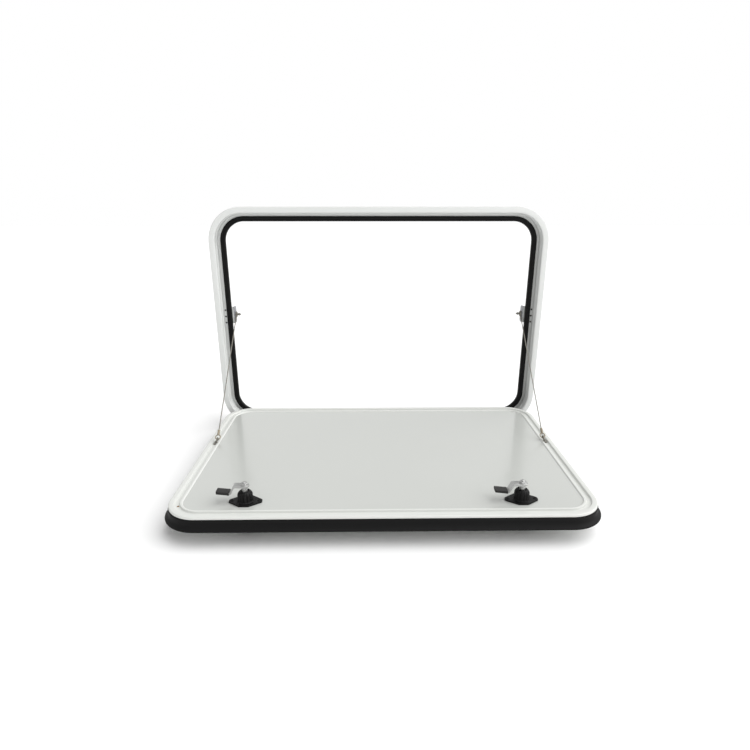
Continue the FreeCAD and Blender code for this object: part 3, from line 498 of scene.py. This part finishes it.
def make_fixings():
    """Rivets in the frame's lip, hinge screws and the small stained drain hole in the ring."""
    forward = Matrix.Rotation(math.radians(90), 4, "X")
    downward = Matrix.Rotation(math.radians(180), 4, "X")
    for name, side in SIDES.items():
        x = (FRAME_HIGH.x - RIVET_INSET) * side
        rivets = [(x, FRONT + LIP_DEPTH, level) for level in RIVET_LEVELS]
        row_of_heads(f"lip_rivets_{name}", rivets, forward, RIVET_HEAD, "frame", "rivet_painted_shade")

    foot_level = box_of("hinge_frame_leaf")[0].z + FOOT_SCREW_RISE
    foot_screws = [(x, FRONT - HINGE_LEAF, foot_level) for x in HINGE_SCREWS]
    row_of_heads("hinge_foot_screws", foot_screws, forward, FOOT_SCREW_HEAD, "frame", "zinc_steel")

    leaf_line = box_of("hinge_door_leaf")[0].y + LEAF_SCREW_INSET
    leaf_screws = [(x + LEAF_SCREW_SHIFT, leaf_line, OUTER_FACE - HINGE_LEAF) for x in HINGE_SCREWS]
    row_of_heads("hinge_leaf_screws", leaf_screws, downward, LEAF_SCREW_HEAD, "door", "zinc_steel")

    mesh = bmesh.new()
    drain = Matrix.Translation(to_row(*DRAIN_PLACE, RIM - GROOVE_DEPTH))
    lathe(mesh, DRAIN_OUTLINE, drain, STAIN_STEPS)
    piece("ring_drain_stain", mesh, "door", "drain_stain")


# Stays


def on_side(y, z, x):
    return to_row(x, y, z)


def make_brackets():
    """Each bracket is a white folded base with a bare steel face and a pointed stud for the stay."""
    for name, side in SIDES.items():
        low, high = box_of(f"stay_bracket_{name}")
        inner, outer = (high.x, low.x) if side < 0 else (low.x, high.x)
        fold, back_leg = inner + BRACKET_SHEET * side, outer - BRACKET_SHEET * side
        front, web = low.y, low.y + BRACKET_SHEET
        face = [(front, low.z, FOLD_ROUND), (high.y, low.z, FACE_CORNER), (high.y, high.z, FACE_CORNER),
                (front, high.z, FOLD_ROUND)]
        base = [(fold, front, 0), (outer, front, FOLD_ROUND), (outer, high.y, SHEET_EASE),
                (back_leg, high.y, SHEET_EASE), (back_leg, web, FOLD_ROUND), (fold, web, 0)]
        mesh = bmesh.new()
        extrude(mesh, rounded(face), min(inner, fold), max(inner, fold), SHEET_EASE, on_side)
        piece(f"stay_face_{name}", mesh, "frame", "bracket_steel", [f"stay_bracket_{name}"])
        mesh = bmesh.new()
        extrude(mesh, rounded(base), low.z, high.z, 0, to_row)
        piece(f"stay_base_{name}", mesh, "frame", "white_aluminium")

        nut_low, nut_high = box_of(f"stay_nut_{name}")
        spot = to_row(inner, (nut_low.y + nut_high.y) / 2, (nut_low.z + nut_high.z) / 2)
        inwards = Matrix.Rotation(math.radians(-90 * side), 4, "Y")
        mesh = bmesh.new()
        lathe(mesh, STAY_STUD, Matrix.Translation(spot) @ inwards, SMALL_STEPS)
        piece(f"stay_stud_{name}", mesh, "frame", "wire_steel", [f"stay_nut_{name}", f"stay_screw_{name}"])


def wire_ends(node):
    """The lower and upper end of a straight wire that leans back, and its radius, from its box."""
    low, high = box_of(node)
    radius = (high.x - low.x) / 2
    run, rise = high.y - low.y, high.z - low.z
    length = math.hypot(run, rise)
    lean, up = run / length, rise / length
    middle = (low.x + high.x) / 2
    return (Vector((middle, low.y + radius * up, low.z + radius * lean)),
            Vector((middle, high.y - radius * up, high.z - radius * lean)), radius)


def make_stay_wires():
    """Each stay is a straight twisted wire rope between the frame and the door."""
    for name in SIDES:
        node = f"stay_cable_{name}"
        low, high, radius = wire_ends(node)
        along = (high - low).normalized()
        third = along.cross(ACROSS)
        length = (high - low).length
        rows = round(length / WIRE_PITCH)
        sections = []
        for row in range(rows + 1):
            travel = length * row / rows
            ring = []
            for step in range(SMALL_STEPS):
                angle = math.tau * step / SMALL_STEPS
                wave = abs(math.cos(WIRE_STRANDS / 2 * (angle - math.tau * travel / WIRE_LAY)))
                reach = radius * (1 - STRAND_DEPTH + STRAND_DEPTH * wave)
                away = ACROSS * math.cos(angle) + third * math.sin(angle)
                ring.append((low + along * travel + away * reach) * MM)
            sections.append(ring)
        mesh = bmesh.new()
        skin(mesh, sections, closed=False)
        wire = piece(f"stay_wire_{name}", mesh, None, "wire_steel", [node])
        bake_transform(wire)


def make_hooks():
    """Each hook is a bent rod on a foot plate that lies in the ring's groove."""
    for name, side in SIDES.items():
        low, high = box_of(f"stay_hook_{name}")
        middle = (low.x + high.x) / 2
        seat = middle + HOOK_LEAN * side
        crook = Vector((middle, high.y - HOOK_CROOK - HOOK_FOOT_HALF, high.z - HOOK_CROOK - HOOK_ROOM))
        shank = crook.y + HOOK_CROOK
        foot = rounded_oblong(seat - HOOK_FOOT_HALF, seat + HOOK_FOOT_HALF, low.y, high.y, HOOK_FOOT_CORNER)
        mesh = bmesh.new()
        extrude(mesh, foot, low.z, low.z + HOOK_FOOT_THICK, SHEET_EASE, to_row)
        path = [Vector((seat + shift * side, shank, low.z + rise)) for shift, rise in SHANK_FOOT]
        path += [Vector((middle + shift * side, shank, crook.z + rise)) for shift, rise in SHANK_TOP]
        for step in range(1, HOOK_BEND_STEPS + 1):
            angle = math.pi * step / HOOK_BEND_STEPS
            path.append(crook + Vector((0, math.cos(angle), math.sin(angle))) * HOOK_CROOK)
        bend_end = path[-1]
        path += [bend_end - Vector((0, 0, drop)) for drop in HOOK_TAIL]
        tube(mesh, path, HOOK_RADIUS)
        piece(f"hook_rod_{name}", mesh, "door", "wire_steel", [f"stay_hook_{name}"])


# Latches


def make_latch(name):
    """One latch, built round its upright axis on the panel."""
    low, high = box_of(f"latch_housing_{name}")
    place = Matrix.Translation(to_row((low.x + high.x) / 2, (low.y + high.y) / 2, PANEL))
    body = f"latch_{name}"
    make_housing(name, place)
    make_spindle(name, place, body)
    make_cam(name, place, body)
    make_sleeve(name, place, body)
    make_knob(name, place, body)


def make_housing(name, place):
    """The moulded flange and ribbed barrel, with a dark screw at each tip."""
    mesh = bmesh.new()
    outline = rounded(FLANGE_OUTLINE)
    extrude(mesh, outline, 0, FLANGE_THICK, FLANGE_EDGE, lambda x, y, z: place @ to_row(x, y, z))
    steps = BARREL_RIBS * RIB_STEPS
    sections = []
    for depth, height, grow in BARREL_PROFILE:
        ring = []
        for step in range(steps):
            angle = math.tau * step / steps
            groove = RIB_DEPTH * depth * (math.cos(BARREL_RIBS * angle) < GROOVE_WAVE)
            reach = BARREL_RADIUS + grow - groove
            ring.append(place @ to_row(reach * math.cos(angle), reach * math.sin(angle), height))
        sections.append(ring)
    skin(mesh, sections, closed=False)
    piece(f"latch_moulding_{name}", mesh, "door", "black_plastic", [f"latch_housing_{name}"])

    mesh = bmesh.new()
    for end in (-1, 1):
        spot = place @ Matrix.Translation(to_row(LATCH_SCREW_SPREAD * end, 0, FLANGE_THICK))
        lathe(mesh, LATCH_SCREW, spot, SMALL_STEPS)
    piece(f"latch_screws_{name}", mesh, "door", "black_plastic")


def make_spindle(name, place, body):
    """The turned spindle with its collar and threaded stud, and the nut and washer on it."""
    foot = box_of(f"latch_spindle_{name}")[0].z - PANEL
    outline = [(AXIS, foot), (COLLAR_RADIUS, foot)] + COLLAR_OUTLINE
    root = STUD_RADIUS - THREAD_DEPTH
    level = THREAD_START
    while level < STUD_TOP - THREAD_PITCH:
        outline += [(STUD_RADIUS, level), (root, level + THREAD_PITCH / 2)]
        level += THREAD_PITCH
    outline += [(root, STUD_TOP - STUD_TIP_RISE), (STUD_RADIUS - STUD_TIP, STUD_TOP), (AXIS, STUD_TOP)]
    mesh = bmesh.new()
    lathe(mesh, outline, place)
    piece(f"latch_stud_{name}", mesh, body, "zinc_steel", [f"latch_spindle_{name}"])

    corner = NUT_FLATS / math.sqrt(3)
    mesh = bmesh.new()
    lathe(mesh, [(corner * share, level) for share, level in NUT_OUTLINE], place, HEXAGON)
    lathe(mesh, WASHER_OUTLINE, place)
    piece(f"latch_hex_nut_{name}", mesh, body, "zinc_steel", [f"latch_nut_{name}"])


def make_cam(name, place, body):
    """The strip bent twice, with its edges eased and a round eye under the nut."""
    half = CAM_WIDTH / 2
    mesh = bmesh.new()
    extrude(mesh, rounded(CAM_OUTLINE), -half, half, CAM_EDGE, lambda x, z, y: place @ to_row(x, y, z))
    eye = [
        (AXIS, CAM_LEVEL), (half - CAM_EDGE, CAM_LEVEL), (half, CAM_LEVEL + CAM_EDGE),
        (half, NUT_LOW - CAM_EDGE), (half - CAM_EDGE, NUT_LOW), (AXIS, NUT_LOW),
    ]
    lathe(mesh, eye, place @ Matrix.Translation(to_row(CAM_EYE, 0, 0)))
    piece(f"latch_strip_{name}", mesh, body, "zinc_steel", [f"latch_cam_{name}"])


def make_sleeve(name, place, body):
    """The soft sleeve on the cam: rounded, with a thicker mouth and a rounded end."""
    middle = (SLEEVE_LOW + SLEEVE_HIGH) / 2
    half_height = (SLEEVE_HIGH - SLEEVE_LOW) / 2
    sections = []
    for x, share in SLEEVE_STATIONS:
        wide, tall = SLEEVE_HALF_WIDTH * share, half_height * share
        outline = rounded_oblong(-wide, wide, -tall, tall, min(wide, tall) * SLEEVE_EDGE)
        level = middle + (CAM_FOOT - x) * CAM_TILT
        sections.append([place @ to_row(x, point.x, level + point.y) for point in outline])
    mesh = bmesh.new()
    skin(mesh, sections, closed=False)
    piece(f"latch_boot_{name}", mesh, body, "sleeve_rubber_lit", [f"latch_sleeve_{name}"])


def make_knob(name, place, body):
    """The outside knob: a round base with a tapered grip across it."""
    low, high = box_of(f"latch_knob_{name}")
    top, bottom = high.z - PANEL, low.z - PANEL
    mesh = bmesh.new()
    lathe(mesh, [(radius, top - drop) for radius, drop in KNOB_BASE], place)
    sections = []
    for level, share in [(top - GRIP_ROOT, 1)] + [(bottom + rise, share) for rise, share in GRIP_END]:
        long, wide = GRIP_HALF_LENGTH * (1 + share) / 2, GRIP_HALF_WIDTH * share
        outline = rounded_oblong(-long, long, -wide, wide, wide * GRIP_ROUND)
        sections.append([place @ to_row(point.x, point.y, level) for point in outline])
    skin(mesh, sections, closed=False)
    piece(f"latch_grip_{name}", mesh, body, "black_plastic", [f"latch_knob_{name}"])


def dress_nodes():
    """Gives the solids that keep their drawn shape a finish."""
    finishes = dict(DRAWN_NODES)
    for name in SIDES:
        finishes.update({f"{node}_{name}": finish for node, finish in DRAWN_PAIRS.items()})
    for node, finish in finishes.items():
        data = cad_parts[node].data
        data.materials.clear()
        data.materials.append(FINISH[finish])


# Floor, light and camera


def make_floor():
    level = FRAME_LOW.z - FLOOR_GAP
    corners = ((-1, -1), (1, -1), (1, 1), (-1, 1))
    mesh = bmesh.new()
    mesh.faces.new([mesh.verts.new(to_row(x * FLOOR_HALF, y * FLOOR_HALF, level)) for x, y in corners])
    data = bpy.data.meshes.new("floor")
    mesh.to_mesh(data)
    mesh.free()
    data.materials.append(surface("floor_white", **FLOOR_FINISH))
    floor = bpy.data.objects.new("floor", data)
    bpy.context.scene.collection.objects.link(floor)


def make_light():
    """A soft key light from the right, a fill from the front, and a white room around the hatch."""
    for name, to_light, strength, softness in LIGHTS:
        data = bpy.data.lights.new(name, "SUN")
        data.energy = strength
        data.angle = math.radians(softness)
        lamp = bpy.data.objects.new(name, data)
        lamp.rotation_euler = to_light.to_track_quat("Z", "Y").to_euler()
        bpy.context.scene.collection.objects.link(lamp)

    world = bpy.data.worlds.new("white_room")
    world.use_nodes = True
    nodes, links = world.node_tree.nodes, world.node_tree.links
    room = nodes["Background"]
    room.inputs["Color"].default_value = WHITE
    room.inputs["Strength"].default_value = AMBIENT
    seen = nodes.new("ShaderNodeBackground")
    seen.inputs["Color"].default_value = WHITE
    seen.inputs["Strength"].default_value = 1
    path = nodes.new("ShaderNodeLightPath")
    choose = nodes.new("ShaderNodeMixShader")
    either = nodes.new("ShaderNodeMath")
    either.operation = "MAXIMUM"
    links.new(path.outputs["Is Camera Ray"], either.inputs[0])
    links.new(path.outputs["Is Glossy Ray"], either.inputs[1])
    links.new(either.outputs["Value"], choose.inputs["Fac"])
    links.new(room.outputs["Background"], choose.inputs[1])
    links.new(seen.outputs["Background"], choose.inputs[2])
    links.new(choose.outputs["Shader"], nodes["World Output"].inputs["Surface"])
    bpy.context.scene.world = world


def make_camera():
    data = bpy.data.cameras.new("camera")
    data.lens = CAMERA_LENS
    data.shift_x, data.shift_y = CAMERA_SHIFT
    camera = bpy.data.objects.new("camera", data)
    camera.location = to_row(*CAMERA_PLACE)
    camera.rotation_euler = [math.radians(angle) for angle in CAMERA_TURN]
    bpy.context.scene.collection.objects.link(camera)
    bpy.context.scene.camera = camera


make_rings()
make_fixings()
make_brackets()
make_stay_wires()
make_hooks()
for latch_name in SIDES:
    make_latch(latch_name)
dress_nodes()
make_floor()
make_light()
make_camera()
bpy.context.scene.view_settings.view_transform = "Standard"
